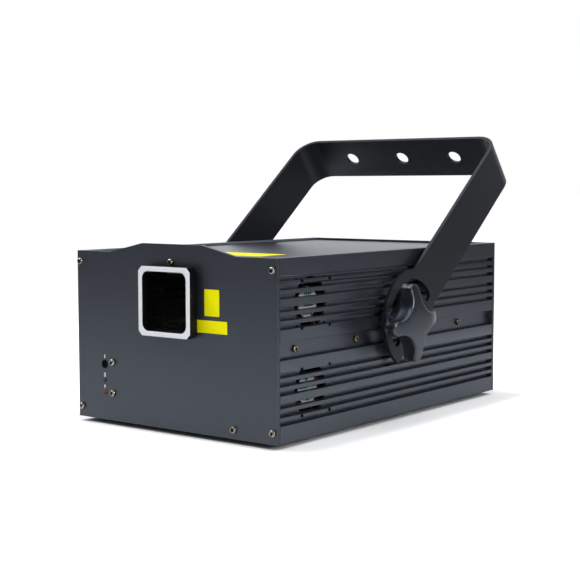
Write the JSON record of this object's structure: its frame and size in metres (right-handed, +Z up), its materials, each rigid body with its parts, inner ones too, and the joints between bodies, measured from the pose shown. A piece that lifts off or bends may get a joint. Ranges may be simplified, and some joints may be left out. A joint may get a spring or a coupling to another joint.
{
  "type": "laser light projector",
  "caption": "Box-shaped stage laser light projector with a square light window in its front plate, grooved side walls, side fans and a tilting U-shaped yoke held by star knobs.",
  "frame": {"origin": "on the floor under the middle of the whole projector's outline", "axes": "+Z up, -Y the way the light leaves the front plate, +X to the right of someone who looks along +Y at the front"},
  "size_m": [0.25, 0.3252, 0.2174],
  "materials": {
    "powder_coat": "fine textured charcoal powder coat",
    "black_anodised": "brushed and black anodised",
    "yoke_paint": "satin black",
    "top_sheet": "satin black",
    "base_sheet": "satin black",
    "knob_plastic": "semi-gloss black",
    "black_plastic": "satin black",
    "foot_rubber": "matte black",
    "bright_steel": "bright",
    "black_steel": "black oxide",
    "bare_aluminium": "machined",
    "silver_rim": "silver white front face, black inside",
    "window_glass": "clear",
    "mirror_coating": "dielectric mirror coating",
    "board": "green circuit board"
  },
  "bodies": {
    "housing": {"front_plate": "powder_coat", "rear_plate": "powder_coat", "right_side_profile": "black_anodised", "left_side_profile": "black_anodised", "top_cover": "top_sheet", "base_plate": "base_sheet", "front_right_foot": "foot_rubber", "rear_right_foot": "foot_rubber", "front_left_foot": "foot_rubber", "rear_left_foot": "foot_rubber", "front_lower_right_screw": "bright_steel", "front_upper_right_screw": "bright_steel", "front_lower_left_screw": "bright_steel", "front_upper_left_screw": "bright_steel", "cover_screw": "bright_steel", "aperture_bezel": "silver_rim", "aperture_glass": "window_glass", "indicator_board": "board", "right_pivot_bolt": "black_steel", "left_pivot_bolt": "black_steel", "right_arm_spacer": "black_plastic", "left_arm_spacer": "black_plastic", "upper_fan_frame": "black_plastic", "lower_fan_frame": "black_plastic", "right_deck_rail": "bare_aluminium", "left_deck_rail": "bare_aluminium", "optics_deck": "bare_aluminium", "scanner_block": "black_steel", "galvo_x_motor": "bare_aluminium", "galvo_y_motor": "bare_aluminium", "red_laser": "bare_aluminium", "green_laser": "bare_aluminium", "blue_laser": "bare_aluminium", "beam_combiner": "mirror_coating", "power_supply": "bare_aluminium", "driver_board": "board", "main_board": "board", "mains_inlet": "black_plastic", "power_switch": "black_plastic", "key_switch": "bright_steel", "dmx_input": "black_plastic", "dmx_output": "black_plastic", "control_port": "bright_steel", "safety_eye": "bright_steel"},
    "yoke": {"yoke_bracket": "yoke_paint"},
    "right_clamp": {"right_clamp_washer": "bright_steel"},
    "right_knob": {"right_knob": "knob_plastic"},
    "left_clamp": {"left_clamp_washer": "bright_steel"},
    "left_knob": {"left_knob": "knob_plastic"},
    "upper_fan": {"upper_fan_rotor": "black_plastic"},
    "lower_fan": {"lower_fan_rotor": "black_plastic"},
    "galvo_x": {"galvo_x_mirror": "mirror_coating"},
    "galvo_y": {"galvo_y_mirror": "mirror_coating"},
    "rocker": {"power_rocker": "black_plastic"},
    "lock_key": {"key": "bright_steel"},
    "fuse_holder": {"fuse_drawer": "black_plastic"},
    "button_1": {"menu_button_1": "black_plastic"},
    "button_2": {"menu_button_2": "black_plastic"},
    "button_3": {"menu_button_3": "black_plastic"},
    "button_4": {"menu_button_4": "black_plastic"}
  },
  "joints": [
    {"name": "yoke_tilt", "type": "hinge", "parent": "housing", "child": "yoke", "pos_m": [0, 0.00195, 0.0763], "axis": [1, 0, 0], "range_deg": [-34.5, 141.5]},
    {"name": "right_clamp_slide", "type": "slide", "parent": "housing", "child": "right_clamp", "axis": [1, 0, 0], "range_m": [0, 0.0025]},
    {"name": "right_knob_turn", "type": "hinge", "parent": "right_clamp", "child": "right_knob", "pos_m": [0, -0.02405, 0.0763], "axis": [1, 0, 0], "range_deg": [0, 720]},
    {"name": "left_clamp_slide", "type": "slide", "parent": "housing", "child": "left_clamp", "axis": [-1, 0, 0], "range_m": [0, 0.0025]},
    {"name": "left_knob_turn", "type": "hinge", "parent": "left_clamp", "child": "left_knob", "pos_m": [0, -0.02405, 0.0763], "axis": [-1, 0, 0], "range_deg": [0, 720]},
    {"name": "upper_fan_spin", "type": "hinge", "parent": "housing", "child": "upper_fan", "pos_m": [0.0827, -0.11115, 0.0963], "axis": [1, 0, 0], "continuous": true},
    {"name": "lower_fan_spin", "type": "hinge", "parent": "housing", "child": "lower_fan", "pos_m": [0.0827, -0.11115, 0.0357], "axis": [1, 0, 0], "continuous": true},
    {"name": "galvo_x_turn", "type": "hinge", "parent": "housing", "child": "galvo_x", "pos_m": [0, -0.12055, 0.0841], "axis": [0, 1, 0], "range_deg": [-15, 15]},
    {"name": "galvo_y_turn", "type": "hinge", "parent": "housing", "child": "galvo_y", "pos_m": [0, -0.12055, 0.0951], "axis": [1, 0, 0], "range_deg": [-15, 15]},
    {"name": "rocker_tilt", "type": "hinge", "parent": "housing", "child": "rocker", "pos_m": [0.062, 0.14175, 0.0695], "axis": [1, 0, 0], "range_deg": [-18, 0]},
    {"name": "key_turn", "type": "hinge", "parent": "housing", "child": "lock_key", "pos_m": [0.062, 0.14145, 0.1005], "axis": [0, -1, 0], "range_deg": [0, 90]},
    {"name": "fuse_slide", "type": "slide", "parent": "housing", "child": "fuse_holder", "axis": [0, 1, 0], "range_m": [0, 0.014]},
    {"name": "button_1_press", "type": "slide", "parent": "housing", "child": "button_1", "axis": [0, -1, 0], "range_m": [0, 0.001], "stiffness_N_per_m": 500, "springref_m": -0.0005},
    {"name": "button_2_press", "type": "slide", "parent": "housing", "child": "button_2", "axis": [0, -1, 0], "range_m": [0, 0.001], "stiffness_N_per_m": 500, "springref_m": -0.0005},
    {"name": "button_3_press", "type": "slide", "parent": "housing", "child": "button_3", "axis": [0, -1, 0], "range_m": [0, 0.001], "stiffness_N_per_m": 500, "springref_m": -0.0005},
    {"name": "button_4_press", "type": "slide", "parent": "housing", "child": "button_4", "axis": [0, -1, 0], "range_m": [0, 0.001], "stiffness_N_per_m": 500, "springref_m": -0.0005}
  ],
  "couplings": [
    {"joint": "right_knob_turn", "follows": "right_clamp_slide", "rad_per_m": 5026.5},
    {"joint": "left_knob_turn", "follows": "left_clamp_slide", "rad_per_m": 5026.5}
  ]
}
